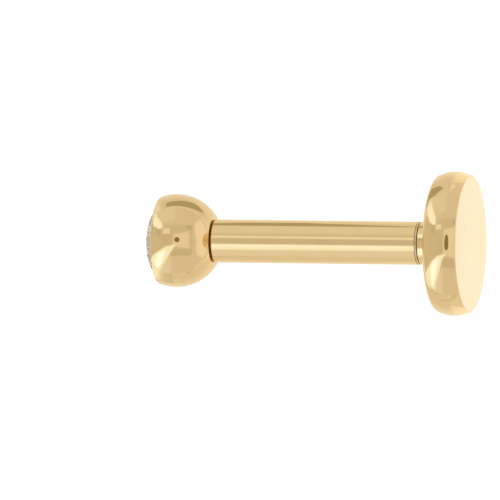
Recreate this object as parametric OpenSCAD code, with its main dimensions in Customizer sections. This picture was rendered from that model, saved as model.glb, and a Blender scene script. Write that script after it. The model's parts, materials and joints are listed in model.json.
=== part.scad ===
// A labret stud of gold: a stone set in a ball, a tube for a post, and a flat disc behind.
// Millimetres. The stud lies on its side on z = 0, with the ball towards -X.
// Each piece is drawn along its own axis, the Z axis with the ball's centre at zero,
// and lay_down() puts it in its place.

/* [Ball] */
// Diameter of the ball end
ball_d = 2.6; // [2.5:0.05:3]
// Distance from the ball's centre to the filed rim in front
rim_drop = 0.48; // [0.42:0.02:0.54]
// Distance from the ball's centre to the flat behind
flat_drop = 1.08; // [1:0.01:1.1]
// Angle that the stone and its seat lean, as set by hand
stone_lean = 2.6; // [0:0.2:2.6]

/* [Stone] */
// Diameter of the round brilliant at its girdle
stone_d = 2.26; // [2.2:0.02:2.3]
// Height of the table above the rim
table_proud = 0.25; // [0.18:0.01:0.25]
// Width of the table, as a share of the stone's diameter
table_share = 0.57; // [0.54:0.01:0.6]
// Slope of the eight main facets of the crown
crown_slope = 34.5; // [33:0.5:35.5]
// Slope of the eight main facets of the pavilion
pavilion_slope = 40.8; // [40:0.2:41.6]

/* [Post] */
// Diameter of the post, 16 gauge
post_d = 1.2; // [1.1:0.05:1.3]
// Length of the tube
post_length = 5.9; // [4.9:0.5:9.9]
// Diameter of the tube's bore
bore_d = 0.84; // [0.82:0.01:0.86]
// Gap between the ball and the tube
ball_gap = 0.03; // [0.02:0.01:0.1]

/* [Disc] */
// Largest diameter of the disc
disc_d = 4.02; // [3.8:0.02:4.4]
// Thickness of the disc
disc_thick = 0.97; // [0.94:0.01:1.04]
// Length of the collar between the tube and the disc
collar_length = 0.44; // [0.3:0.02:0.6]
// How much the collar's radius grows from the tube to the disc
collar_flare = 0.06; // [0:0.01:0.1]

/* [Pins] */
// Diameter of the pins that go into the tube
pin_d = 0.8; // [0.74:0.02:0.8]
// Length of the ball's pin
pin_length = 2; // [1.5:0.1:2.4]
// Length of the disc's pin
spigot_length = 1.2; // [0.8:0.1:1.6]

/* [Hidden] */
gold = "goldenrod";
clear = "whitesmoke";

// Gaps and small edges
stone_gap = 0.015;
lip = 0.014;
rim_round = 0.09;
seam_gap = 0.02;
edge = 0.04;
pin_tip = 0.1;
past = 1;

// Places along the stud, from the ball's centre
ball_r = ball_d / 2;
post_r = post_d / 2;
pin_r = pin_d / 2;
post_from = flat_drop + ball_gap;
post_to = post_from + post_length;
collar_from = post_to + seam_gap;
disc_from = collar_from + collar_length;
disc_to = disc_from + disc_thick;

// The disc's side is an arc, with a small round at each face
disc_r = disc_d / 2;
side_r = 0.97;
side_height = 0.52;
side_centre_r = disc_r - side_r;
side_centre_z = disc_from + side_height;
inner_round = 0.2;
outer_round = 0.04;

// The stud lies on the ball and on the disc's side: the slope of the line that touches both
reach = norm([side_centre_r, side_centre_z]);
lie_slope = atan2(side_centre_r, side_centre_z) + asin((side_r - ball_r) / reach);

// The stone, its height zero at the upper edge of the girdle. The main facets end a little
// short of the girdle, and a tiny culet closes the point below.
stone_r = stone_d / 2;
table_r = stone_r * table_share;
girdle = 0.05;
main_lift = 0.004;
culet_r = 0.02;
crown_h = (stone_r - table_r) * tan(crown_slope);
star_r = table_r + 0.5 * (stone_r - table_r);
star_h = (stone_r - star_r * cos(22.5)) * tan(crown_slope);
half_r = 0.24 * stone_r;
half_h = (stone_r - half_r * cos(22.5)) * tan(pavilion_slope);
pavilion_h = (stone_r + main_lift - culet_r) * tan(pavilion_slope);
table_edge_r = table_r * cos(22.5);
star_slope = atan((crown_h - star_h) / (star_r - table_edge_r));
upper_slope = atan(star_h / ((stone_r - star_r) * cos(11.25)));
lower_slope = atan(half_h / ((stone_r - half_r) * cos(11.25)));
girdle_drop = rim_drop + table_proud - crown_h;

// Middle of the stud lying down, measured along the floor from the ball's centre
table_drop = rim_drop + table_proud;
front_reach = table_drop * cos(lie_slope) + table_r * sin(lie_slope);
back_reach = disc_to * cos(lie_slope) + (disc_r - outer_round) * sin(lie_slope);
middle = (back_reach - front_reach) / 2;

$fn = 96;

// Puts a piece drawn along Z in its place on the floor
module lay_down() {
    translate([-middle, 0, ball_r])
        rotate([0, 90 - lie_slope, 0])
            children();
}

// Turns the seat about the ball's centre, and points its Z axis out of the mouth
module in_seat(lean = stone_lean) {
    rotate([lean, 0, 0])
        rotate([180, 0, 0])
            children();
}

// A round pin along Z with a tapered tip at its far end
module pin(radius, length) {
    cylinder(r = radius, h = length - pin_tip);
    translate([0, 0, length - pin_tip])
        cylinder(r1 = radius, r2 = radius - pin_tip / 2, h = pin_tip);
}

// What is cut from the ball in front of its rim, which is rounded where it meets the ball
module rim_cut() {
    centre_z = rim_drop - rim_round;
    centre_r = sqrt(pow(ball_r - rim_round, 2) - centre_z * centre_z);
    last = atan2(centre_z, centre_r);
    rotate_extrude()
        polygon(concat(
            [[0, rim_drop]],
            [for (i = [0 : 4])
                let (turn = 90 + i * (last - 90) / 4)
                [centre_r + rim_round * cos(turn), centre_z + rim_round * sin(turn)]],
            [[(ball_r + past) * cos(last), (ball_r + past) * sin(last)],
             [ball_r + past, ball_r + past],
             [0, ball_r + past]]
        ));
}

// The mouth and the stone's seat
module seat_cut() {
    mouth_r = stone_r - lip;
    seat_r = stone_r + stone_gap;
    seat_top = girdle_drop + stone_gap;
    seat_bottom = girdle_drop - girdle - stone_gap;
    rotate_extrude()
        polygon([
            [0, seat_bottom - seat_r * tan(pavilion_slope)],
            [seat_r, seat_bottom],
            [seat_r, seat_top],
            [mouth_r, seat_top + (seat_r - mouth_r)],
            [mouth_r, ball_r],
            [0, ball_r]
        ]);
}

// The ball with its setting in front, its flat behind and its pin
module bezel_ball() {
    color(gold)
        lay_down() {
            difference() {
                sphere(r = ball_r);
                in_seat(0)
                    rim_cut();
                in_seat()
                    seat_cut();
                translate([0, 0, flat_drop])
                    cylinder(r = ball_r, h = ball_r);
            }
            translate([0, 0, flat_drop - edge])
                pin(pin_r, pin_length + edge);
        }
}

// All that lies under a plane which slopes down from a point at a radius and height, turned to an azimuth
module under_plane(azimuth, slope, radius, height) {
    size = 4 * stone_d;
    rotate([0, 0, azimuth])
        translate([radius, 0, height])
            rotate([0, slope, 0])
                translate([-size / 2, -size / 2, -size])
                    cube(size);
}

// One tier of facets: a plane repeated round the stone
module tier(count, first, slope, radius, height) {
    intersection_for (i = [0 : count - 1])
        under_plane(first + i * 360 / count, slope, radius, height);
}

// A round brilliant with 57 facets and a tiny culet, its girdle's upper edge at height zero
module brilliant() {
    pair = 11.25;
    intersection() {
        translate([0, 0, -girdle - pavilion_h])
            cylinder(r = stone_r, h = pavilion_h + girdle + crown_h);
        tier(8, 0, crown_slope, stone_r + main_lift, 0);
        tier(8, 22.5, star_slope, table_edge_r, crown_h);
        tier(8, pair, upper_slope, stone_r * cos(pair), 0);
        tier(8, -pair, upper_slope, stone_r * cos(pair), 0);
        mirror([0, 0, 1])
            translate([0, 0, girdle]) {
                intersection() {
                    tier(8, 0, pavilion_slope, stone_r + main_lift, 0);
                    tier(8, pair, lower_slope, stone_r * cos(pair), 0);
                    tier(8, -pair, lower_slope, stone_r * cos(pair), 0);
                }
            }
    }
}

// The stone in its seat
module stone() {
    color(clear)
        lay_down()
            in_seat()
                translate([0, 0, girdle_drop])
                    brilliant();
}

// The tube, bored through, with its ends eased
module post() {
    color(gold)
        lay_down()
            translate([0, 0, post_from])
                difference() {
                    rotate_extrude()
                        polygon([
                            [0, 0],
                            [post_r - edge, 0],
                            [post_r, edge],
                            [post_r, post_length - edge],
                            [post_r - edge, post_length],
                            [0, post_length]
                        ]);
                    translate([0, 0, -past])
                        cylinder(d = bore_d, h = post_length + 2 * past);
                }
}

// The round between a flat face and the disc's side: its centre, from the face's height
function round_centre(face_z, radius, inward) =
    let (z = face_z + inward * radius)
    [side_centre_r + sqrt(pow(side_r - radius, 2) - pow(z - side_centre_z, 2)), z];

// Cuts the sharp corner outside a round and puts the round in its place
module round_corner(face_z, radius, inward) {
    centre = round_centre(face_z, radius, inward);
    out = centre - [side_centre_r, side_centre_z];
    side_way = out / norm(out);
    face_way = [0, -inward];
    far = 2 * radius;
    difference() {
        children();
        polygon([
            centre,
            centre + far * side_way,
            centre + far * (side_way + face_way),
            centre + far * face_way
        ]);
    }
    translate(centre)
        circle(r = radius);
}

// Half the disc's section, from its axis out
module disc_section() {
    round_corner(disc_from, inner_round, 1)
        round_corner(disc_to, outer_round, -1)
            intersection() {
                union() {
                    translate([side_centre_r, side_centre_z])
                        circle(r = side_r);
                    translate([0, disc_from])
                        square([side_centre_r, disc_thick]);
                }
                translate([0, disc_from])
                    square([disc_r + past, disc_thick]);
            }
}

// The disc with its collar and the pin that holds it in the tube
module disc_back() {
    color(gold)
        lay_down() {
            rotate_extrude()
                disc_section();
            rotate_extrude()
                polygon([
                    [0, collar_from],
                    [post_r - edge, collar_from],
                    [post_r, collar_from + edge],
                    [post_r + collar_flare, disc_from + edge],
                    [0, disc_from + edge]
                ]);
            translate([0, 0, collar_from + edge])
                mirror([0, 0, 1])
                    pin(pin_r, spigot_length + edge);
        }
}

bezel_ball();
stone();
post();
disc_back();
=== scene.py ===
"""A gold labret stud with a clear stone, dressed around its packed frame.

Each piece is drawn in millimetres along the stud's own axis, which is Z here, with the
ball's centre at zero and the disc towards +Z. in_place() then puts its mesh where the
frame has it, in metres.
"""

import json
import math
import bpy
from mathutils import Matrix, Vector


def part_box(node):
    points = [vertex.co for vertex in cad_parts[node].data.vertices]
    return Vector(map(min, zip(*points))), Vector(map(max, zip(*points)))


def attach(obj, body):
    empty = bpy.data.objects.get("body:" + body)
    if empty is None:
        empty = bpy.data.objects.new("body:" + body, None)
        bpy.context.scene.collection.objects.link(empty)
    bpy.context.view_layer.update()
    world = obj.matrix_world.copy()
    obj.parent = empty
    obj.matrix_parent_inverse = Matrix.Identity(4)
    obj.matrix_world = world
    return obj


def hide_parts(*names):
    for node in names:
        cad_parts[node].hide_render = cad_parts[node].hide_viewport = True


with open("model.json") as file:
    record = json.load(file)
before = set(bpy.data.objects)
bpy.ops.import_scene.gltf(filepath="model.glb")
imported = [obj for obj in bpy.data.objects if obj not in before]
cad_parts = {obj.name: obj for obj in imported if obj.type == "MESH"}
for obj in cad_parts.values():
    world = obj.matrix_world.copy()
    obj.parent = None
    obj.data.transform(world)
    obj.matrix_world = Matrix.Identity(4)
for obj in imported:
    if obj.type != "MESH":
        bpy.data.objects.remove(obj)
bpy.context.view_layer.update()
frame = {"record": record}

from types import SimpleNamespace

import bmesh
import bpy
from bpy.props import (
    FloatProperty,
    FloatVectorProperty,
    IntProperty,
    PointerProperty,
)
from bpy.types import Operator, Panel, PropertyGroup
from mathutils import Matrix, Vector

bl_info = {
    "name": "Labret Stud",
    "version": (1, 0, 0),
    "blender": (4, 5, 0),
    "location": "3D View > Sidebar > Labret Stud",
    "description": "Builds a gold labret stud and its studio, piece by piece",
    "category": "Object",
}

MM = 0.001

# What the frame says: the tube's mount, and how wide the ball, the tube and the disc are
TUBE_MOUNT = next(m for m in frame["record"]["mounts"] if m["name"] == "post")
AXIS = -Vector(TUBE_MOUNT["axis"]).normalized()
TUBE_MIDDLE = Vector(TUBE_MOUNT["pos_m"])
TUBE_WIDTH = 2 * TUBE_MOUNT["dims"]["r_mm"] * MM
TUBE_LENGTH = TUBE_MOUNT["dims"]["length_mm"] * MM


def width_of(node):
    """A node's width across the stud."""
    low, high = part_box(node)
    return high.y - low.y


BALL_WIDTH = width_of("bezel_ball")
DISC_WIDTH = width_of("disc_back")


# Sizes and colours


def length(name, description, default):
    """A length that is shown in the scene's own unit."""
    return FloatProperty(
        name=name, description=description, default=default,
        min=0.0, precision=6, unit="LENGTH", subtype="DISTANCE",
    )


def angle(name, description, degrees):
    """An angle, given in degrees."""
    return FloatProperty(
        name=name, description=description, default=math.radians(degrees),
        precision=3, unit="ROTATION", subtype="ANGLE",
    )


def share(name, description, default):
    """A number from nothing to all."""
    return FloatProperty(
        name=name, description=description, default=default,
        min=0.0, max=1.0, subtype="FACTOR",
    )


def colour(name, description, default):
    """A plain colour."""
    return FloatVectorProperty(
        name=name, description=description, default=default,
        size=3, min=0.0, max=1.0, subtype="COLOR",
    )


class BallSizes(PropertyGroup):
    """The ball end and its setting."""

    width: length("Ball Width", "Diameter of the ball end", BALL_WIDTH)
    rim_drop: length("Rim Drop", "From the ball's centre to the filed rim", 0.48 * MM)
    flat_drop: length("Flat Drop", "From the ball's centre to the flat behind", 1.08 * MM)
    pin_width: length("Pin Width", "Diameter of the pin in the tube", 0.8 * MM)
    pin_length: length("Pin Length", "Length of the ball's pin", 2.0 * MM)
    lean: angle("Stone Lean", "How far the stone and its seat lean, as set by hand", 2.6)


class StoneSizes(PropertyGroup):
    """The round brilliant."""

    width: length("Stone Width", "Diameter at the girdle", 2.26 * MM)
    proud: length("Table Proud", "Height of the table above the rim", 0.25 * MM)
    girdle: length("Girdle", "Thickness of the girdle", 0.05 * MM)
    table: share("Table", "Width of the table, as a share of the stone's", 0.57)
    crown: angle("Crown Slope", "Slope of the crown's main facets", 34.5)
    pavilion: angle("Pavilion Slope", "Slope of the pavilion's main facets", 40.8)


class TubeSizes(PropertyGroup):
    """The tube that is the post."""

    width: length("Tube Width", "Outer diameter of the tube", TUBE_WIDTH)
    length: length("Tube Length", "Length of the tube", TUBE_LENGTH)
    bore: length("Bore", "Diameter of the tube's bore", 0.84 * MM)
    ball_gap: length("Ball Gap", "Gap between the ball and the tube", 0.03 * MM)


class DiscSizes(PropertyGroup):
    """The disc with its collar."""

    width: length("Disc Width", "Largest diameter of the disc", DISC_WIDTH)
    thickness: length("Disc Thickness", "Thickness of the disc", 0.97 * MM)
    side_radius: length("Side Radius", "Radius of the arc that the side follows", 0.97 * MM)
    side_height: length("Side Height", "From the inner face to the side's widest place", 0.52 * MM)
    inner_round: length("Inner Round", "Round between the inner face and the side", 0.2 * MM)
    outer_round: length("Outer Round", "Round between the outer face and the side", 0.04 * MM)
    collar: length("Collar", "Length of the collar", 0.44 * MM)
    flare: length("Collar Flare", "How much wider the collar's radius gets", 0.06 * MM)
    seam: length("Seam", "Gap between the tube and the collar", 0.02 * MM)
    spigot: length("Spigot", "Length of the disc's pin in the tube", 1.2 * MM)
    flat: share("Side Flat", "Depth of the flat on the side, as a share of the radius", 0.0095)
    flat_toward: angle("Flat Toward", "Turn round the stud to the flat's middle", 178.5)
    flat_half: angle("Flat Half Width", "Turn from the flat's middle to its edge", 14)


class Finishes(PropertyGroup):
    """Colours, and how finely the turned pieces are drawn."""

    gold: colour("Gold", "Colour of the polished gold", (0.93, 0.752, 0.447))
    gold_deep: colour("Deep Gold", "Gold in its faint darker patches", (0.90, 0.702, 0.392))
    # The brushed face's gold is paler than the polished gold: painted sheen
    brushed: colour("Brushed Gold", "Gold of the disc's brushed face", (0.98, 0.86, 0.66))
    # The gap's and the seam's tones are darker than the polished gold: painted shade
    gap: colour("Gap", "Matt gold in the gap behind the ball", (0.95, 0.68, 0.3))
    seam: colour("Seam", "Matt gold in the seam at the collar", (0.55, 0.46, 0.31))
    stone: colour("Stone", "Tint of the clear stone", (0.985, 0.985, 0.99))
    haze: colour("Haze", "Tint of the stone's faint haze", (0.965, 0.968, 0.98))
    polish: share("Polish", "Roughness of the polished gold", 0.05)
    steps: IntProperty(
        name="Turning Steps", description="Steps round each turned piece",
        default=256, min=32, max=512,
    )


class StudioSizes(PropertyGroup):
    """The camera and the light tent."""

    tilt: angle("Camera Tilt", "From straight down, towards the disc", 8.98)
    roll: angle("Camera Roll", "Turn of the picture", 0.67)
    lens: FloatProperty(
        name="Lens", description="Focal length in millimetres",
        default=1500.0, min=50.0, max=5000.0, unit="CAMERA",
    )
    field: length("Field", "Width of the picture at the stud", 13.966 * MM)
    right: length("Aim Right", "From the ball's centre to the picture's middle", 2.039 * MM)
    down: length("Aim Down", "From the ball's centre down to the picture's middle", 0.266 * MM)
    tent: length("Tent", "From the stud to the light tent", 250.0 * MM)
    light: FloatProperty(
        name="Light", description="Strength of all the light", default=1.0, min=0.0, max=10.0,
    )
    warmth: colour("Warmth", "Tint of all the light", (1.0, 0.9, 0.74))


GROUPS = {
    "stud_ball": BallSizes,
    "stud_stone": StoneSizes,
    "stud_tube": TubeSizes,
    "stud_disc": DiscSizes,
    "stud_finish": Finishes,
    "stud_studio": StudioSizes,
}


def sizes(group):
    """A group's lengths in millimetres and its other values as they are."""
    held = getattr(bpy.context.scene, group)
    values = SimpleNamespace()
    for name, prop in GROUPS[group].bl_rna.properties.items():
        if name not in {"rna_type", "name"}:
            value = getattr(held, name)
            setattr(values, name, value / MM if getattr(prop, "unit", "") == "LENGTH" else value)
    return values


# Places along the stud, in millimetres from the ball's centre


def places():
    """Where each piece begins and ends along the stud."""
    ball, tube, disc = sizes("stud_ball"), sizes("stud_tube"), sizes("stud_disc")
    along = SimpleNamespace(tube_from=ball.flat_drop + tube.ball_gap)
    along.tube_to = along.tube_from + tube.length
    along.collar_from = along.tube_to + disc.seam
    along.disc_from = along.collar_from + disc.collar
    along.disc_to = along.disc_from + disc.thickness
    return along


def girdle_height():
    """The upper edge of the stone's girdle, out of the mouth."""
    ball, stone = sizes("stud_ball"), sizes("stud_stone")
    crown_height = stone.width / 2 * (1 - stone.table) * math.tan(stone.crown)
    return ball.rim_drop + stone.proud - crown_height


def ball_centre():
    """The ball's centre in the row frame, in metres."""
    along = places()
    return TUBE_MIDDLE - AXIS * (along.tube_from + along.tube_to) / 2 * MM


def stud_turn():
    """The turn that takes Z to the stud's axis."""
    return Vector((0, 0, 1)).rotation_difference(AXIS)


def in_place(mesh):
    """Puts a mesh drawn in millimetres along Z where the frame has it."""
    turn = stud_turn().to_matrix().to_4x4()
    mesh.transform(Matrix.Translation(ball_centre()) @ turn @ Matrix.Scale(MM, 4))
    mesh.update()


# Outlines

# An outline is a list of points (radius, height, share, finish) in millimetres. The share says
# how much of the piece's lean and flat a point takes, and the finish is one of these. The
# tube's seam takes the place that the filed finish has on the other pieces.
# The gap's finish and the tube's seam take matt gold whose darker tone is painted shade
POLISHED, FILED, IN_GAP = 0.0, 1.0, -1.0
SEAM = FILED

# Small gaps, rounds and edges in millimetres. Places that nearly meet are told apart by a few
# times the HAIR.
STONE_GAP = 0.015
MOUTH_LIP = 0.014
MOUTH_ROUND = 0.02
RIM_ROUND = 0.09
END_ROUND = 0.03
BORE_ROUND = 0.02
PIN_ROUND = 0.02
PIN_TAPER = 0.1
COLLAR_HOLLOW = 0.05
HAIR = 0.001

# How far the matt gold of a gap, darkened as painted shade, goes along the pins, and into the
# tube's ends
GAP_ON_PIN = 0.15
GAP_IN_TUBE = 0.1

# The fine line turned near the tube's end: how far from the end it starts, and its heights
# from there with their depths
LINE_FROM_END = 0.066
TURNED_LINE = [(0.0, 0.0), (0.006, 0.012), (0.02, 0.012), (0.026, 0.0)]

# How much of the seam the collar fills, so that the seam shows as a hairline
SEAM_FILL = 0.008

# The flat on the disc's side reaches what lies further out than this
FLAT_BEYOND = 1.4


def arc(radius, height, size, first, last, step):
    """Points on an arc round (radius, height), from one angle to another in degrees."""
    count = max(2, math.ceil(abs(last - first) / step))
    turns = [math.radians(first + (last - first) * i / count) for i in range(count + 1)]
    return [(radius + size * math.cos(t), height + size * math.sin(t)) for t in turns]


def round_at(face, inward, size, side, side_r=0.0, side_z=0.0):
    """The centre of a round between a flat face and a side that is an arc round (side_r, side_z),
    and the angle where it meets the side. The piece lies above (1) or below (-1) its face."""
    z = face + inward * size
    out = math.sqrt((side - size) ** 2 - (z - side_z) ** 2)
    return side_r + out, z, math.degrees(math.atan2(z - side_z, out))


def with_support(points, near=0.02, closed=False):
    """Adds a point close to each end of the long straight lines, so that rounds shade cleanly."""
    made = []
    ends = points[1:] + (points[:1] if closed else [])
    for a, b in zip(points, ends):
        made.append(a)
        way = Vector(b) - Vector(a)
        if way.length > 4 * near:
            step = way.normalized() * near
            made += [tuple(Vector(a) + step), tuple(Vector(b) - step)]
    return made + [points[0] if closed else points[-1]]


def gap_finish(points, is_in_gap):
    """Points that take no share, with the gap's finish where they lie in one."""
    return [(r, z, 0.0, IN_GAP if is_in_gap(r, z) else POLISHED) for r, z in points]


def pin_points(radius, face, reach):
    """The side of a pin, from its round root at a face down to the axis at its tapered tip."""
    tip = face - reach
    return [
        (radius, face - 1.5 * PIN_ROUND),
        (radius, tip + PIN_TAPER),
        (radius - PIN_TAPER / 2, tip),
        (0.0, tip),
    ]


def setting_points():
    """The seat, the mouth and the rim, from the seat's bottom out. Heights are out of the mouth."""
    ball, stone = sizes("stud_ball"), sizes("stud_stone")
    mouth_r, seat_r = stone.width / 2 - MOUTH_LIP, stone.width / 2 + STONE_GAP
    seat_top = girdle_height() + STONE_GAP
    seat_bottom = girdle_height() - stone.girdle - STONE_GAP
    seat = [
        (0.0, seat_bottom - seat_r * math.tan(stone.pavilion)),
        (seat_r, seat_bottom),
        (seat_r, seat_top),
        (mouth_r, seat_top + seat_r - mouth_r),
    ]
    mouth = arc(mouth_r + MOUTH_ROUND, ball.rim_drop - MOUTH_ROUND, MOUTH_ROUND, 180, 90, 15)
    centre_r, centre_h, edge = round_at(ball.rim_drop, -1, RIM_ROUND, ball.width / 2)
    rim = arc(centre_r, centre_h, RIM_ROUND, 90, edge, 10)
    return seat, mouth, rim, edge


def ball_outline():
    """The setting, the ball's side, the flat behind and the pin."""
    ball = sizes("stud_ball")
    ball_r, pin_r, tube_r = ball.width / 2, ball.pin_width / 2, sizes("stud_tube").width / 2
    seat, mouth, rim, rim_edge = setting_points()
    seat_to = seat[-1][1] + 2 * HAIR
    filed_over = ball.rim_drop - 1.5 * MOUTH_ROUND
    filed_from, filed_to = mouth[0][0] + 4 * HAIR, rim[0][0] + RIM_ROUND / 2

    def front_finish(r, h):
        """Filed on the rim, and polished on the rest."""
        return FILED if h > filed_over and filed_from < r < filed_to else POLISHED

    front = with_support(seat + mouth + rim, near=0.012)
    points = [(r, -h, float(h < seat_to), front_finish(r, h)) for r, h in front]

    back_h = -ball.flat_drop
    centre_r, centre_h, back_edge = round_at(back_h, 1, END_ROUND, ball_r)
    side = arc(0, 0, ball_r, rim_edge, back_edge, 1.5)
    points += [(r, -h, 0.0, POLISHED) for r, h in side]

    behind = (
        arc(centre_r, centre_h, END_ROUND, back_edge, -90, 10)
        + [(tube_r + 5 * HAIR, back_h), (tube_r, back_h)]
        + arc(pin_r + PIN_ROUND, back_h - PIN_ROUND, PIN_ROUND, 90, 180, 30)
        + pin_points(pin_r, back_h, ball.pin_length)
    )
    behind = [(r, -h) for r, h in with_support(behind)]
    gap_r, gap_to = tube_r + HAIR, ball.flat_drop + GAP_ON_PIN
    return points + gap_finish(behind, lambda r, z: r < gap_r and z < gap_to)


def tube_outline():
    """The tube's section: outside, end, bore and end again."""
    along, tube = places(), sizes("stud_tube")
    out_r, bore_r = tube.width / 2, tube.bore / 2
    low, high = along.tube_from, along.tube_to
    line = high - LINE_FROM_END
    points = (
        arc(out_r - END_ROUND, low + END_ROUND, END_ROUND, -90, 0, 15)
        + [(out_r - depth, line + height) for height, depth in TURNED_LINE]
        + arc(out_r - END_ROUND, high - END_ROUND, END_ROUND, 0, 90, 15)
        + arc(bore_r + BORE_ROUND, high - BORE_ROUND, BORE_ROUND, 90, 180, 30)
        + arc(bore_r + BORE_ROUND, low + BORE_ROUND, BORE_ROUND, 180, 270, 30)
    )
    inside = out_r - END_ROUND + HAIR

    def in_gap(r, z):
        """Whether a point lies at the ball's end or in the bore there."""
        return z < low + 0.6 * END_ROUND or r < inside and z < low + GAP_IN_TUBE

    def in_seam(r, z):
        """Whether a point lies in the turned line, or at the collar's end or in the bore there."""
        in_line = line - HAIR < z < line + TURNED_LINE[-1][0] + HAIR
        at_end = z > high - 0.4 * END_ROUND or r < inside and z > high - GAP_IN_TUBE
        return in_line or at_end

    outline = gap_finish(with_support(points, closed=True), in_gap)
    # The seam's matt gold, darker as painted shade, goes in the turned line and at the collar's end
    return [(r, z, part, SEAM if in_seam(r, z) else finish) for r, z, part, finish in outline]


def disc_outline():
    """The disc's pin, collar, inner face, side and outer face."""
    along, disc = places(), sizes("stud_disc")
    pin_r, collar_r = sizes("stud_ball").pin_width / 2, sizes("stud_tube").width / 2
    root_r, flare_turn = collar_r + disc.flare, math.degrees(math.atan2(disc.flare, disc.collar))
    centre = disc.width / 2 - disc.side_radius, along.disc_from + disc.side_height
    inner_r, inner_z, inner_edge = round_at(
        along.disc_from, 1, disc.inner_round, disc.side_radius, *centre)
    outer_r, outer_z, outer_edge = round_at(
        along.disc_to, -1, disc.outer_round, disc.side_radius, *centre)
    front = along.collar_from - SEAM_FILL
    points = (
        pin_points(pin_r, front, disc.spigot - SEAM_FILL)[::-1]
        + arc(pin_r + PIN_ROUND, front - PIN_ROUND, PIN_ROUND, 180, 90, 30)
        + arc(collar_r - END_ROUND, front + END_ROUND, END_ROUND, -90, -flare_turn, 15)
        + arc(root_r + COLLAR_HOLLOW, along.disc_from - COLLAR_HOLLOW, COLLAR_HOLLOW,
              180 - flare_turn, 90, 15)
        + arc(inner_r, inner_z, disc.inner_round, -90, inner_edge, 6)
        + arc(*centre, disc.side_radius, inner_edge, outer_edge, 1.2)[1:]
        + arc(outer_r, outer_z, disc.outer_round, outer_edge, 90, 8)[1:]
    )
    gap_r, gap_from, gap_to = collar_r - END_ROUND + HAIR, front - GAP_ON_PIN, front + HAIR
    outline = gap_finish(
        with_support(points),
        lambda r, z: r < gap_r and gap_from < z < gap_to,
    )
    corner_r, corner_z, _, _ = outline.pop()
    face_rings = 6
    face = [corner_r, outer_r - 20 * HAIR]
    face += [outer_r * k / face_rings for k in range(face_rings - 1, -1, -1)]
    outline += [(r, corner_z, 0.0, FILED) for r in face]
    return [(r, z, float(r > FLAT_BEYOND), finish) for r, z, _, finish in outline]


def outline_mesh(name, points):
    """An outline as a line of edges that holds its points' shares and finishes."""
    mesh = bpy.data.meshes.new(name)
    mesh.from_pydata([(r, 0.0, z) for r, z, _, _ in points],
                     [(i, i + 1) for i in range(len(points) - 1)], [])
    for mark, place in (("share", 2), ("finish", 3)):
        held = mesh.attributes.new(mark, "FLOAT", "POINT")
        held.data.foreach_set("value", [p[place] for p in points])
    return mesh


# The node group that turns an outline


class NodeSheet:
    """Adds nodes to a tree, sets their values and links them."""

    def __init__(self, tree):
        self.tree = tree
        self.column = 0

    def add(self, kind, settings=None, **inputs):
        """A new node. An input is a value or another node's output socket."""
        node = self.tree.nodes.new(kind)
        node.location = (self.column * 180, 0)
        self.column += 1
        for name, value in (settings or {}).items():
            setattr(node, name, value)
        for name, value in inputs.items():
            self.put(node, name.replace("_", " "), value)
        return node

    def put(self, node, socket, value):
        """Sets or links one input, by its name or its number."""
        target = node.inputs[socket]
        if isinstance(value, bpy.types.NodeSocket):
            self.tree.links.new(value, target)
        else:
            target.default_value = value

    def maths(self, operation, *values):
        """A Math node's result."""
        node = self.add("ShaderNodeMath", {"operation": operation})
        for i, value in enumerate(values):
            self.put(node, i, value)
        return node.outputs[0]

    def noise(self, spot, scale, detail, roughness=0.5):
        """A Noise Texture's value."""
        return self.add("ShaderNodeTexNoise", Vector=spot, Scale=scale, Detail=detail,
                        Roughness=roughness).outputs[0]

    def ranged(self, value, low, high, first=0.0, last=1.0, kind="LINEAR"):
        """Goes from low to high as a value goes from first to last."""
        return self.add("ShaderNodeMapRange", {"interpolation_type": kind}, Value=value,
                        From_Min=first, From_Max=last, To_Min=low, To_Max=high).outputs[0]

    def mixed(self, factor, first, second):
        """Goes from one colour to another. The numbers are the Mix node's colour sockets."""
        node = self.add("ShaderNodeMix", {"data_type": "RGBA"}, Factor=factor)
        self.put(node, 6, first)
        self.put(node, 7, second)
        return node.outputs[2]


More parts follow.
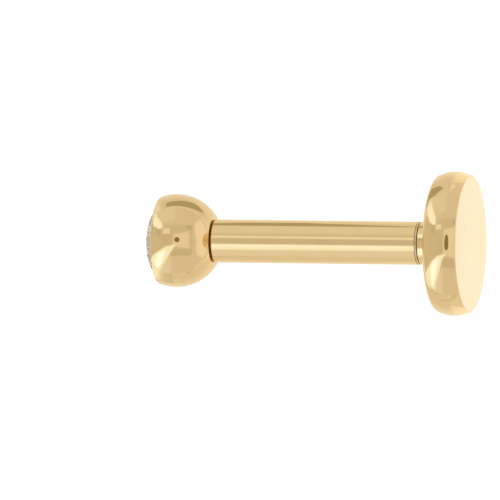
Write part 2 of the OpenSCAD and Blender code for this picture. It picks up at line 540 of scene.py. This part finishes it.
def turning_group():
    """A node group that turns an outline about Z into a closed skin, lets the stone's seat lean,
    presses a slight flat into the disc's side and gives each finish its material."""
    tree = bpy.data.node_groups.new("Turned Outline", "GeometryNodeTree")

    def socket(name, kind, way="INPUT", **settings):
        """A socket of the group."""
        made = tree.interface.new_socket(name, in_out=way, socket_type="NodeSocket" + kind)
        for key, value in settings.items():
            setattr(made, key, value)

    socket("Outline", "Geometry")
    socket("Steps", "Int", default_value=256, min_value=8)
    socket("Lean", "Float", subtype="ANGLE")
    socket("Flat Depth", "Float")
    socket("Flat Toward", "Float", default_value=math.pi, subtype="ANGLE")
    socket("Flat Half Width", "Float", default_value=0.25, subtype="ANGLE")
    socket("Join Within", "Float", default_value=0.0001, min_value=0.0)
    socket("Crease Over", "Float", default_value=math.radians(32), subtype="ANGLE")
    for finish in ("Polished", "Filed", "In Gap"):
        socket(finish, "Material")
    socket("Turned", "Geometry", way="OUTPUT")

    sheet = NodeSheet(tree)
    given = sheet.add("NodeGroupInput").outputs
    size = sheet.add("GeometryNodeAttributeDomainSize", {"component": "MESH"},
                     Geometry=given["Outline"]).outputs["Point Count"]
    around = sheet.maths("ADD", given["Steps"], 1.0)
    grid = sheet.add("GeometryNodeMeshGrid", Vertices_X=around, Vertices_Y=size).outputs["Mesh"]
    index = sheet.add("GeometryNodeInputIndex").outputs[0]
    row = sheet.maths("MODULO", index, size)
    column = sheet.maths("FLOOR", sheet.maths("DIVIDE", sheet.maths("ADD", index, 0.25), size))
    turn = sheet.maths("DIVIDE", sheet.maths("MULTIPLY", column, math.tau), given["Steps"])

    def sampled(kind, value):
        """What the outline's point of the same row holds."""
        node = sheet.add("GeometryNodeSampleIndex", {"data_type": kind, "domain": "POINT"},
                         Geometry=given["Outline"], Index=row)
        sheet.put(node, "Value", value)
        return node.outputs["Value"]

    def held(attribute):
        """What the geometry holds under a name."""
        node = sheet.add("GeometryNodeInputNamedAttribute", {"data_type": "FLOAT"}, Name=attribute)
        return node.outputs["Attribute"]

    spot = sampled("FLOAT_VECTOR", sheet.add("GeometryNodeInputPosition").outputs[0])
    shared = sampled("FLOAT", held("share"))
    off = sheet.maths("DIVIDE", sheet.maths("SUBTRACT", turn, given["Flat Toward"]),
                      given["Flat Half Width"])
    bump = sheet.maths("MAXIMUM", sheet.maths("SUBTRACT", 1.0, sheet.maths("MULTIPLY", off, off)),
                       0.0)
    press = sheet.maths("MULTIPLY", sheet.maths("MULTIPLY", bump, bump), given["Flat Depth"])
    keep = sheet.maths("SUBTRACT", 1.0, sheet.maths("MULTIPLY", press, shared))
    keep = sheet.add("ShaderNodeCombineXYZ", X=keep, Y=keep, Z=1.0).outputs[0]
    pressed = sheet.add("ShaderNodeVectorMath", {"operation": "MULTIPLY"})
    sheet.put(pressed, 0, spot)
    sheet.put(pressed, 1, keep)
    turned = sheet.add("ShaderNodeVectorRotate", {"rotation_type": "Z_AXIS"},
                       Vector=pressed.outputs[0], Angle=turn).outputs[0]
    leaning = sheet.maths("MULTIPLY", given["Lean"], shared)
    leant = sheet.add("ShaderNodeVectorRotate", {"rotation_type": "X_AXIS"},
                      Vector=turned, Angle=leaning).outputs[0]
    marked = sheet.add("GeometryNodeStoreNamedAttribute", {"data_type": "FLOAT", "domain": "POINT"},
                       Geometry=grid, Name="finish", Value=sampled("FLOAT", held("finish")))
    placed = sheet.add("GeometryNodeSetPosition", Geometry=marked.outputs[0], Position=leant)
    joined = sheet.add("GeometryNodeMergeByDistance", Geometry=placed.outputs[0],
                       Distance=given["Join Within"])
    bend = sheet.add("GeometryNodeInputMeshEdgeAngle").outputs["Unsigned Angle"]
    sharp = sheet.maths("GREATER_THAN", bend, given["Crease Over"])
    smooth = sheet.add("GeometryNodeSetShadeSmooth", {"domain": "FACE"}, Geometry=joined.outputs[0],
                       Shade_Smooth=True)
    creased = sheet.add("GeometryNodeSetShadeSmooth", {"domain": "EDGE"},
                        Geometry=smooth.outputs[0], Selection=sharp, Shade_Smooth=False)
    whole = sheet.add("GeometryNodeRealizeInstances", Geometry=creased.outputs[0])
    done = sheet.add("GeometryNodeSetMaterial", Geometry=whole.outputs[0],
                     Material=given["Polished"])
    mark, near = held("finish"), 0.99
    for finish, test, value in (("Filed", "GREATER_THAN", FILED), ("In Gap", "LESS_THAN", IN_GAP)):
        done = sheet.add("GeometryNodeSetMaterial", Geometry=done.outputs[0],
                         Selection=sheet.maths(test, mark, value * near), Material=given[finish])
    sheet.add("NodeGroupOutput", Turned=done.outputs[0])
    return tree


def turned_piece(name, points, polished, filed, gap, lean=0.0, flat=0.0):
    """Turns an outline into a piece with the node group, as a plain mesh in its place."""
    group = bpy.data.node_groups.get("Turned Outline") or turning_group()
    disc = sizes("stud_disc")
    line = bpy.data.objects.new(name + "_outline", outline_mesh(name + "_outline", points))
    bpy.context.scene.collection.objects.link(line)
    turning = line.modifiers.new("Turning", "NODES")
    turning.node_group = group
    chosen = {
        "Steps": sizes("stud_finish").steps,
        "Lean": lean,
        "Flat Depth": flat,
        "Flat Toward": disc.flat_toward,
        "Flat Half Width": disc.flat_half,
        "Polished": polished,
        "Filed": filed,
        "In Gap": gap,
    }
    for item in group.interface.items_tree:
        if item.in_out == "INPUT" and item.name in chosen:
            turning[item.identifier] = chosen[item.name]
    bpy.context.view_layer.update()
    ready = line.evaluated_get(bpy.context.evaluated_depsgraph_get())
    mesh = bpy.data.meshes.new_from_object(ready)
    line.modifiers.remove(turning)
    bpy.data.objects.remove(line)
    if not mesh.polygons:
        raise RuntimeError(f"{name}: the node group made nothing")
    mesh.name = name
    facing_out(mesh)
    in_place(mesh)
    return linked(name, mesh)


def facing_out(mesh):
    """Makes every face of a closed mesh point outwards."""
    work = bmesh.new()
    work.from_mesh(mesh)
    bmesh.ops.recalc_face_normals(work, faces=work.faces)
    if work.calc_volume(signed=True) < 0:
        bmesh.ops.reverse_faces(work, faces=work.faces)
    work.to_mesh(mesh)
    work.free()


def linked(name, mesh):
    """A new object in the scene."""
    piece = bpy.data.objects.new(name, mesh)
    bpy.context.scene.collection.objects.link(piece)
    return piece


# Materials


def new_material(name):
    """An empty node material, with its sheet and its output."""
    made = bpy.data.materials.new(name)
    made.use_nodes = True
    made.node_tree.nodes.clear()
    sheet = NodeSheet(made.node_tree)
    return made, sheet, sheet.add("ShaderNodeOutputMaterial")


def stud_coordinates(sheet, stretch=(1.0, 1.0, 1.0)):
    """Object coordinates in millimetres with Z along the stud, from the ball's centre."""
    spot = sheet.add("ShaderNodeTexCoord").outputs["Object"]
    turned = sheet.add("ShaderNodeMapping", {"vector_type": "TEXTURE"}, Vector=spot,
                       Location=ball_centre(), Rotation=stud_turn().to_euler(),
                       Scale=(MM, MM, MM)).outputs[0]
    if stretch == (1.0, 1.0, 1.0):
        return turned
    return sheet.add("ShaderNodeMapping", Vector=turned, Scale=stretch).outputs[0]


def darker(tone, part):
    """A colour with part of its brightness."""
    return tuple(part * v for v in tone)


def gold(name, tones, grain, scale, depth, wave, roughness, spread, specks=None):
    """Gold: faint darker patches, a soft wave left by polishing, and a fine grain.

    grain stretches the grain's pattern along the stud's axes, scale is how fine it is, and
    depth and wave are how deep the grain and the wave are, in metres. specks is how bright
    small worn specks are, where there are any."""
    made, sheet, out = new_material(name)
    spot = stud_coordinates(sheet)
    patches = sheet.noise(spot, scale=1.7, detail=3.0)
    tone = sheet.mixed(sheet.ranged(patches, -0.3, 1.0), *((*value, 1.0) for value in tones))
    if specks:
        worn = sheet.noise(stud_coordinates(sheet, (4.0, 1.0, 1.0)), 6.0, 4.0, roughness=0.7)
        worn = sheet.ranged(worn, 0.0, 1.0, first=0.5, last=0.8)
        tone = sheet.mixed(worn, tone, (*darker(tones[0], specks), 1.0))
    lines = sheet.noise(stud_coordinates(sheet, grain), scale, detail=4.0, roughness=0.6)
    soft = sheet.noise(spot, scale=2.2, detail=1.0)
    waved = sheet.add("ShaderNodeBump", Height=soft, Distance=wave, Strength=1.0)
    grained = sheet.add("ShaderNodeBump", Height=lines, Distance=depth, Strength=1.0,
                        Normal=waved.outputs[0])
    shader = sheet.add("ShaderNodeBsdfPrincipled", Metallic=1.0, Base_Color=tone,
                       Roughness=sheet.ranged(lines, roughness - spread, roughness + spread),
                       Normal=grained.outputs[0])
    sheet.put(out, "Surface", shader.outputs[0])
    return made


def polished_gold(name, grain):
    """Polished gold, with a grain that runs as the piece was turned or drawn."""
    finish = sizes("stud_finish")
    return gold(name, (finish.gold, finish.gold_deep), grain, scale=14.0, depth=6e-8, wave=4e-7,
                roughness=finish.polish, spread=0.02)


def filed_gold():
    """The rim round the stone, filed flat."""
    finish = sizes("stud_finish")
    return gold("gold_filed_rim", (finish.gold, finish.gold_deep), grain=(1.0, 6.0, 1.0),
                scale=9.0, depth=1.6e-6, wave=8e-7, roughness=0.36, spread=0.08)


def brushed_gold_with_painted_sheen():
    """The disc's outer face, finely brushed and a little worn, its paler gold a painted sheen."""
    tone = sizes("stud_finish").brushed
    return gold("gold_brushed_face", (tone, darker(tone, 0.97)), grain=(9.0, 0.5, 1.0),
                scale=6.0, depth=6e-7, wave=3e-7, roughness=0.16, spread=0.05, specks=0.8)


def matt_gold_painted_shade(place):
    """Gold left matt by the polishing, with a darker tone that is painted shade: in the gap behind
    the ball, or in the seam at the collar and the turned line beside it."""
    name, tone = "gold_in_" + place, getattr(sizes("stud_finish"), place)
    return bpy.data.materials.get(name) or gold(
        name, (tone, darker(tone, 0.85)), grain=(1.0, 1.0, 1.0),
        scale=12.0, depth=1e-6, wave=2e-7, roughness=0.5, spread=0.08,
    )


def clear_stone(name, frosted):
    """The stone's facets, or its frosted girdle."""
    finish = sizes("stud_finish")
    made, sheet, out = new_material(name)
    haze = sheet.noise(stud_coordinates(sheet), scale=40.0 if frosted else 1.1, detail=3.0)
    tone = sheet.mixed(sheet.ranged(haze, 0.0, 0.6), (*finish.stone, 1.0), (*finish.haze, 1.0))
    roughness = (0.25, 0.45) if frosted else (0.0, 0.004)
    shader = sheet.add("ShaderNodeBsdfPrincipled", Base_Color=tone, IOR=2.2,
                       Transmission_Weight=0.88, Roughness=sheet.ranged(haze, *roughness))
    sheet.put(out, "Surface", shader.outputs[0])
    return made


# The stone


def cut(work, azimuth, slope, radius, height, under=False):
    """Cuts off what lies outside a plane through a point at that radius and height."""
    way = Vector((math.cos(azimuth), math.sin(azimuth), 0))
    side = -1 if under else 1
    at = way * radius + Vector((0, 0, height))
    out = way * math.sin(slope) + Vector((0, 0, side * math.cos(slope)))
    done = bmesh.ops.bisect_plane(work, geom=work.verts[:] + work.edges[:] + work.faces[:],
                                  dist=1e-6, plane_co=at, plane_no=out, clear_outer=True)
    edges = [e for e in done["geom_cut"] if isinstance(e, bmesh.types.BMEdge) and e.is_boundary]
    if edges:
        bmesh.ops.edgenet_fill(work, edges=edges)


def brilliant_mesh():
    """A round brilliant of 57 facets and a tiny culet in millimetres, its girdle's upper edge
    at height zero."""
    stone = sizes("stud_stone")
    around, eighth, pair = 128, math.tau / 8, math.radians(11.25)
    lift, culet = 0.004, 0.02
    radius = stone.width / 2
    table_r = radius * stone.table
    crown_h = (radius - table_r) * math.tan(stone.crown)
    star_r = table_r + 0.5 * (radius - table_r)
    star_h = (radius - star_r * math.cos(2 * pair)) * math.tan(stone.crown)
    half_r = 0.24 * radius
    half_h = (radius - half_r * math.cos(2 * pair)) * math.tan(stone.pavilion)
    table_edge = table_r * math.cos(2 * pair)
    star = math.atan((crown_h - star_h) / (star_r - table_edge))
    upper = math.atan(star_h / ((radius - star_r) * math.cos(pair)))
    lower = math.atan(half_h / ((radius - half_r) * math.cos(pair)))
    depth = (radius + lift - culet) * math.tan(stone.pavilion) + stone.girdle

    work = bmesh.new()
    rings = [
        [work.verts.new((radius * math.cos(i * math.tau / around),
                         radius * math.sin(i * math.tau / around), height))
         for i in range(around)]
        for height in (-depth, crown_h)
    ]
    work.faces.new(rings[0][::-1])
    work.faces.new(rings[1])
    for i in range(around):
        j = (i + 1) % around
        work.faces.new((rings[0][i], rings[0][j], rings[1][j], rings[1][i]))
    near = radius * math.cos(pair)
    for k in range(8):
        turn = k * eighth
        cut(work, turn, stone.crown, radius + lift, 0)
        cut(work, turn + 2 * pair, star, table_edge, crown_h)
        cut(work, turn, stone.pavilion, radius + lift, -stone.girdle, under=True)
        for side in (-pair, pair):
            cut(work, turn + side, upper, near, 0)
            cut(work, turn + side, lower, near, -stone.girdle, under=True)
    bmesh.ops.remove_doubles(work, verts=work.verts, dist=1e-5)
    bmesh.ops.dissolve_limit(work, angle_limit=math.radians(0.2), verts=work.verts,
                             edges=work.edges)
    bmesh.ops.recalc_face_normals(work, faces=work.faces)
    for face in work.faces:
        face.smooth = False
        face.material_index = 1 if abs(face.normal.z) < 0.05 else 0
    mesh = bpy.data.meshes.new("clear_brilliant")
    work.to_mesh(mesh)
    work.free()
    return mesh


# The studio


def camera_ways():
    """The camera's direction from the stud, and the picture's right and up."""
    studio = sizes("stud_studio")
    across = Vector((0, 1, 0))
    to_camera = Vector((math.sin(studio.tilt), 0, math.cos(studio.tilt)))
    level = Vector((math.cos(studio.tilt), 0, -math.sin(studio.tilt)))
    right = math.cos(studio.roll) * level + math.sin(studio.roll) * across
    up = -math.sin(studio.roll) * level + math.cos(studio.roll) * across
    return to_camera, right, up


def tent_way(right_degrees, up_degrees):
    """The direction that lies so many degrees right and up of the camera's."""
    to_camera, right, up = camera_ways()
    off = math.hypot(right_degrees, up_degrees)
    if off == 0:
        return to_camera
    aside = (right * right_degrees + up * up_degrees) / off
    return to_camera * math.cos(math.radians(off)) + aside * math.sin(math.radians(off))


# The tent's panels, laid over each other in this order: outline in degrees right and up of the
# camera, the light there, and how many degrees its edge fades over
PANELS = {
    "ceiling": ([(-38, -36), (-40, 0), (-38, 36), (0, 40), (36, 37), (40, 0), (37, -36),
                 (0, -38)], (0.68, 0.68, 0.68), 3),
    "ceiling_right": ([(-12, -14), (-8, 16), (30, 22), (31, -20), (0, -16)], (0.86, 0.86, 0.86), 6),
    "ceiling_left": ([(-38, -14), (-38, 18), (-14, 13), (-12, -8)], (0.655, 0.65, 0.65), 4),
    "ceiling_low": ([(-14, -22), (-14, -38), (36, -38), (38, -22)], (0.63, 0.63, 0.62), 4),
    "ceiling_corner": ([(22, 27), (22, 38), (39, 38), (39, 27)], (0.59, 0.58, 0.56), 5),
    "ceiling_window": ([(-36, 17), (-35, 30), (-18, 31), (-18, 17)], (0.9, 0.94, 1.04), 5),
    "wall_right": ([(52, -36), (48, -24), (50, 0), (45, 20), (47, 46), (95, 80), (95, -68)],
                   (0.94, 0.94, 0.96), 6),
    "wall_high": ([(-20, 48), (-66, 44), (-66, 118), (-2, 118), (-6, 52)], (0.8, 0.82, 0.86), 10),
    "wall_low": ([(-14, -44), (-66, -44), (-72, -125), (-26, -125), (-16, -80)],
                 (0.83, 0.87, 0.94), 18),
    "wall_left": ([(-40, -26), (-39, 25), (-60, 37), (-95, 60), (-95, -60), (-60, -38)],
                  (0.68, 0.67, 0.63), 3),
    "wall_left_edge": ([(-40, 8), (-40, 26), (-56, 34), (-52, 14)], (0.61, 0.6, 0.56), 5),
    "lamp_high": ([(-36, 31), (-47, 30), (-60, 38), (-75, 55), (-80, 70), (-66, 85), (-50, 59),
                   (-38, 43)], (1.08, 1.2, 1.5), 3),
    "lamp_low": ([(-3, -10), (-30, -15), (-42, -25), (-55, -32), (-68, -42), (-95, -62),
                  (-95, -100), (-62, -112), (-50, -90), (-40, -68), (-26, -46), (-15, -28)],
                 (1.04, 1.2, 1.42), 5),
    "lamp_low_core": ([(-27, -24), (-42, -28), (-53, -38), (-59, -54), (-57, -76), (-46, -68),
                       (-36, -46)], (1.2, 1.5, 2.1), 9),
}
TENT_LIGHT = (0.74, 0.74, 0.74)


def inside_share(spot, outline, fade):
    """How far a spot is inside an outline: 0 outside, 1 inside, and between them at its edge."""
    inside, nearest = False, 1e9
    for (ax, ay), (bx, by) in zip(outline, outline[1:] + outline[:1]):
        if (ay > spot[1]) != (by > spot[1]):
            if spot[0] < (bx - ax) * (spot[1] - ay) / (by - ay) + ax:
                inside = not inside
        span = (bx - ax) ** 2 + (by - ay) ** 2
        part = ((spot[0] - ax) * (bx - ax) + (spot[1] - ay) * (by - ay)) / span
        part = min(1, max(0, part))
        gap = math.hypot(spot[0] - ax - part * (bx - ax), spot[1] - ay - part * (by - ay))
        nearest = min(nearest, gap)
    depth = (nearest if inside else -nearest) / fade + 0.5
    depth = min(1.0, max(0.0, depth))
    return depth * depth * (3 - 2 * depth)


def tent_light(spot):
    """The tent's light in a direction, with its panels laid over each other."""
    light = Vector(TENT_LIGHT)
    for outline, panel, fade in PANELS.values():
        light = light.lerp(Vector(panel), inside_share(spot, outline, fade))
    return warm(light)


def warm(light):
    """A light with the studio's tint."""
    return Vector(light) * Vector(sizes("stud_studio").warmth)


def glow_material(name, light=None):
    """A surface that gives off one light, or else the light that its mesh's points hold."""
    made, sheet, out = new_material(name)
    if light is None:
        light = sheet.add("ShaderNodeAttribute", {"attribute_name": "light"}).outputs["Color"]
    glow = sheet.add("ShaderNodeEmission", Color=light, Strength=sizes("stud_studio").light)
    sheet.put(out, "Surface", glow.outputs[0])
    return made


def hidden_stage(name, mesh, lights_floor=False):
    """A stage object that is mirrored but not seen by the camera, and may light the floor."""
    made = linked(name, mesh)
    made.visible_camera = False
    made.visible_diffuse = made.visible_shadow = lights_floor


def sheet_mesh(name, points, faces, material):
    """A mesh with one material."""
    mesh = bpy.data.meshes.new(name)
    mesh.from_pydata(points, [], faces)
    mesh.materials.append(material)
    return mesh


def glowing_sheet(name, points, faces, lights, lights_floor=False):
    """A hidden sheet whose points hold the light that they give off."""
    mesh = sheet_mesh(name, points, faces, glow_material(name))
    held = mesh.attributes.new("light", "FLOAT_COLOR", "POINT")
    held.data.foreach_set("color", [v for light in lights for v in (*light, 1.0)])
    hidden_stage(name, mesh, lights_floor)


def flat_card(name, points, light):
    """A plain flat card that gives off one light."""
    material = glow_material(name, (*warm(light), 1.0))
    hidden_stage(name, sheet_mesh(name, points, [tuple(range(len(points)))], material))


def light_tent():
    """The tent round the stud: a dome whose points hold their light. The camera doesn't see it."""
    reach = sizes("stud_studio").tent * MM
    centre = ball_centre()
    step, far, count = 2, 118, 120
    spots, faces, rows = [(0.0, 0.0)], [], []
    for off in range(step, far + 1, step):
        rows.append(range(len(spots), len(spots) + count))
        for i in range(count):
            turn = i * math.tau / count
            spots.append((off * math.cos(turn), off * math.sin(turn)))
    for i in range(count):
        j = (i + 1) % count
        faces.append((0, rows[0][i], rows[0][j]))
        for inner, outer in zip(rows, rows[1:]):
            faces.append((inner[i], outer[i], outer[j], inner[j]))
    points = [centre + reach * tent_way(*s) for s in spots]
    lights = [tent_light(s) for s in spots]
    glowing_sheet("light_tent", points, faces, lights, lights_floor=True)


def lens_mark():
    """The dark lens over the stud, just inside the tent."""
    half_width, above, corners = math.radians(6.4), 0.035, 48
    reach = sizes("stud_studio").tent * MM * 0.98
    to_camera, right, up = camera_ways()
    centre = ball_centre() + (to_camera + up * above) * reach
    rim = reach * math.tan(half_width)
    turns = [i * math.tau / corners for i in range(corners)]
    points = [centre + right * rim * math.cos(t) + up * rim * math.sin(t) for t in turns]
    flat_card("lens_mark", points, (0.27, 0.23, 0.13))


# How far over the floor lie, in metres, the floor that is mirrored, the lamps' glows and the card
MIRRORED_OVER, GLOW_OVER, CARD_OVER = 0.000003, 0.00001, 0.00002


def dark_card():
    """A dark card that lies on the floor behind the stud, its corners in millimetres."""
    corners = [(-6.1, 6.3), (-4.0, 5.0), (-2.5, 3.4), (-0.9, 3.3), (0.1, 5.3), (0.5, 8.3),
               (0.3, 12.8), (-1.9, 20.0), (-13.5, 27.0)]
    flat_card("dark_card", [(x * MM, y * MM, CARD_OVER) for x, y in corners], (0.46, 0.45, 0.36))


# How the floor's own light fades: steps away from the ball, and the level there
FLOOR_FADE = [(1, 0.74), (2, 0.7), (6, 0.67), (30, 0.66)]

# Where lamps light the floor: turn from the stud's direction in degrees, and the light there,
# or None where it fades to the floor's own
FLOOR_GLOW = {
    "glow_low": [(-98, (0.69, 0.69, 0.69)), (-110, (0.76, 0.77, 0.8)), (-116, (0.85, 0.9, 0.99)),
                 (-122, (1.04, 1.17, 1.34)), (-140, (1.04, 1.17, 1.34)), (-156, None)],
    "glow_high": [(112, None), (117, (0.78, 0.8, 0.86)), (122, (0.92, 0.98, 1.1)),
                  (140, (0.95, 1.0, 1.12)), (156, None)],
    "glow_right": [(-74, (0.69, 0.69, 0.69)), (-55, (0.82, 0.82, 0.82)), (0, (0.86, 0.86, 0.86)),
                   (40, (0.82, 0.82, 0.82)), (50, None)],
}


def floor_glow(name, step):
    """A fan on the floor round the ball's end, whose points hold the light that lamps leave. The
    step is in millimetres."""
    rows = FLOOR_GLOW[name]
    middle = ball_centre()
    spots, lights = [], []
    for turn, light in rows:
        way = Vector((math.cos(math.radians(turn)), math.sin(math.radians(turn)), 0))
        for steps, level in FLOOR_FADE:
            reach = steps * step
            spots.append((middle.x + way.x * reach * MM, way.y * reach * MM, GLOW_OVER))
            lights.append(warm(light or (level, level, level)))
    across = len(FLOOR_FADE)
    faces = [
        (i * across + k, i * across + k + 1, (i + 1) * across + k + 1, (i + 1) * across + k)
        for i in range(len(rows) - 1) for k in range(across - 1)
    ]
    glowing_sheet(name, spots, faces, lights)


def matt_and_glow(name, matt_level, glow_colour, glow_strength):
    """A matt surface that also glows, as much as glow_strength's nodes say at each spot."""
    made, sheet, out = new_material(name)
    spot = sheet.add("ShaderNodeTexCoord").outputs["Object"]
    grain = sheet.noise(spot, scale=900.0, detail=2.0)
    matt = sheet.add("ShaderNodeBsdfDiffuse", Color=(matt_level, matt_level, matt_level, 1.0),
                     Roughness=sheet.ranged(grain, 0.3, 0.6))
    glow = sheet.add("ShaderNodeEmission", Color=(*glow_colour, 1.0),
                     Strength=glow_strength(sheet, spot))
    both = sheet.add("ShaderNodeAddShader")
    sheet.put(both, 0, matt.outputs[0])
    sheet.put(both, 1, glow.outputs[0])
    sheet.put(out, "Surface", both.outputs[0])
    return made


def glow_beside_stud(sheet, spot):
    """The mirrored floor's glow: brighter close beside the stud, which is wider at its disc, in
    a strip behind the disc, and a little on the stud's low side."""
    parts = sheet.add("ShaderNodeSeparateXYZ", Vector=spot).outputs
    half = sheet.maths("MULTIPLY_ADD", parts["X"], 0.5, 2.4 * MM)
    half = sheet.maths("MAXIMUM", half, 2.6 * MM)
    beside = sheet.maths("DIVIDE", sheet.maths("ABSOLUTE", parts["Y"]), half)
    beyond = sheet.maths("SUBTRACT", sheet.maths("ABSOLUTE", parts["X"]), 4.0 * MM)
    beyond = sheet.maths("DIVIDE", beyond, 2.5 * MM)
    away = sheet.maths("MAXIMUM", beside, beyond)
    level = sheet.ranged(away, low=0.84, high=0.66, first=0.3, last=1.8, kind="SMOOTHSTEP")
    off_strip = sheet.maths("ABSOLUTE", sheet.maths("SUBTRACT", parts["X"], 4.9 * MM))
    behind = sheet.ranged(off_strip, low=0.17, high=0.0, first=0.5 * MM, last=1.6 * MM,
                          kind="SMOOTHSTEP")
    low_side = sheet.ranged(parts["Y"], low=0.0, high=0.03, first=-1.5 * MM, last=-4.0 * MM,
                            kind="SMOOTHSTEP")
    return sheet.maths("ADD", level, sheet.maths("ADD", behind, low_side))


def floor_mesh(name, height, material):
    """A wide flat floor."""
    half = 3.0
    corners = [(x * half, y * half, height) for x, y in ((-1, -1), (1, -1), (1, 1), (-1, 1))]
    return sheet_mesh(name, corners, [(0, 1, 2, 3)], material)


def pale_floor():
    """The white floor that the stud lies on, and the dimmer one that the stud mirrors."""
    seen = matt_and_glow("pale_floor", 0.16, (1.0, 1.0, 1.0), lambda sheet, spot: 0.95)
    made = linked("pale_floor", floor_mesh("pale_floor", 0.0, seen))
    made.visible_glossy = made.visible_transmission = False
    mirrored = matt_and_glow("mirrored_floor", 0.13, warm((1.0, 1.0, 0.99)), glow_beside_stud)
    hidden_stage("mirrored_floor", floor_mesh("mirrored_floor", MIRRORED_OVER, mirrored))


def stud_camera():
    """The camera, at the angle of the picture, far off with a long lens."""
    studio = sizes("stud_studio")
    to_camera, right, up = camera_ways()
    lens = bpy.data.cameras.new("stud_camera")
    lens.sensor_width = 36.0
    lens.lens = studio.lens
    lens.dof.use_dof = False
    lens.clip_start, lens.clip_end = 0.01, 10.0
    camera = bpy.data.objects.new("stud_camera", lens)
    bpy.context.scene.collection.objects.link(camera)
    aim = ball_centre() + (right * studio.right - up * studio.down) * MM
    place = aim + to_camera * studio.field * MM * studio.lens / lens.sensor_width
    turn = Matrix((right, up, to_camera)).transposed().to_4x4()
    camera.matrix_world = Matrix.Translation(place) @ turn
    bpy.context.scene.camera = camera


def room_light():
    """A pale room round the tent, for what the floor doesn't fill."""
    world = bpy.data.worlds.new("pale_room")
    world.use_nodes = True
    world.node_tree.nodes.clear()
    sheet = NodeSheet(world.node_tree)
    out = sheet.add("ShaderNodeOutputWorld")
    room = sheet.add("ShaderNodeBackground", Color=(*warm((0.78, 0.78, 0.77)), 1.0), Strength=1.0)
    sheet.put(out, "Surface", room.outputs[0])
    bpy.context.scene.world = world
    bpy.context.scene.view_settings.view_transform = "Standard"


# Operators


class STUD_OT_ball(Operator):
    """Builds the ball end with its setting and its pin"""

    bl_idname = "stud.ball"
    bl_label = "Ball End"

    def execute(self, context):
        piece = turned_piece(
            "gold_ball_end", ball_outline(),
            polished_gold("gold_polished_ball", (0.4, 0.4, 6.0)), filed_gold(), matt_gold_painted_shade("gap"),
            lean=sizes("stud_ball").lean,
        )
        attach(piece, "front")
        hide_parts("bezel_ball")
        return {"FINISHED"}


class STUD_OT_stone(Operator):
    """Cuts the round brilliant and sets it in the ball's mouth"""

    bl_idname = "stud.stone"
    bl_label = "Stone"

    def execute(self, context):
        lean = Matrix.Rotation(sizes("stud_ball").lean, 4, "X")
        out_of_mouth = Matrix.Rotation(math.pi, 4, "X")
        mesh = brilliant_mesh()
        mesh.transform(lean @ out_of_mouth @ Matrix.Translation((0, 0, girdle_height())))
        mesh.materials.append(clear_stone("stone_facets", frosted=False))
        mesh.materials.append(clear_stone("stone_girdle", frosted=True))
        in_place(mesh)
        piece = linked("clear_brilliant", mesh)
        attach(piece, "front")
        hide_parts("stone")
        return {"FINISHED"}


class STUD_OT_tube(Operator):
    """Builds the tube that is the post"""

    bl_idname = "stud.tube"
    bl_label = "Tube Post"

    def execute(self, context):
        piece = turned_piece(
            "gold_tube_post", tube_outline(),
            polished_gold("gold_polished_tube", (5.0, 5.0, 0.12)), matt_gold_painted_shade("seam"),
            matt_gold_painted_shade("gap"),
        )
        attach(piece, "back")
        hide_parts("post")
        return {"FINISHED"}


class STUD_OT_disc(Operator):
    """Builds the disc with its collar and its pin"""

    bl_idname = "stud.disc"
    bl_label = "Disc Back"

    def execute(self, context):
        piece = turned_piece(
            "gold_disc_back", disc_outline(),
            polished_gold("gold_polished_disc", (0.4, 0.4, 6.0)), brushed_gold_with_painted_sheen(),
            matt_gold_painted_shade("seam"), flat=sizes("stud_disc").flat,
        )
        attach(piece, "back")
        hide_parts("disc_back")
        return {"FINISHED"}


class STUD_OT_studio(Operator):
    """Sets the floor, the light tent and the camera"""

    bl_idname = "stud.studio"
    bl_label = "Studio"

    def execute(self, context):
        pale_floor()
        light_tent()
        lens_mark()
        dark_card()
        floor_glow("glow_low", step=3.2)
        floor_glow("glow_high", step=3.2)
        floor_glow("glow_right", step=12.0)
        room_light()
        stud_camera()
        return {"FINISHED"}


class STUD_PT_sidebar(Panel):
    """The stud's pieces and sizes"""

    bl_idname = "STUD_PT_sidebar"
    bl_label = "Labret Stud"
    bl_space_type = "VIEW_3D"
    bl_region_type = "UI"
    bl_category = "Labret Stud"

    def draw(self, context):
        for operator in OPERATORS:
            self.layout.operator(operator.bl_idname)
        for group, kind in GROUPS.items():
            box = self.layout.box()
            box.label(text=kind.__doc__)
            for name in kind.__annotations__:
                box.prop(getattr(context.scene, group), name)


OPERATORS = (STUD_OT_studio, STUD_OT_ball, STUD_OT_stone, STUD_OT_tube, STUD_OT_disc)
CLASSES = (*GROUPS.values(), *OPERATORS, STUD_PT_sidebar)


def register():
    for kind in CLASSES:
        bpy.utils.register_class(kind)
    for group, kind in GROUPS.items():
        setattr(bpy.types.Scene, group, PointerProperty(type=kind))


def unregister():
    for group in GROUPS:
        delattr(bpy.types.Scene, group)
    for kind in reversed(CLASSES):
        bpy.utils.unregister_class(kind)


def main():
    """Builds everything in order."""
    register()
    bpy.ops.stud.studio()
    bpy.ops.stud.ball()
    bpy.ops.stud.stone()
    bpy.ops.stud.tube()
    bpy.ops.stud.disc()


if __name__ == "__main__":
    main()
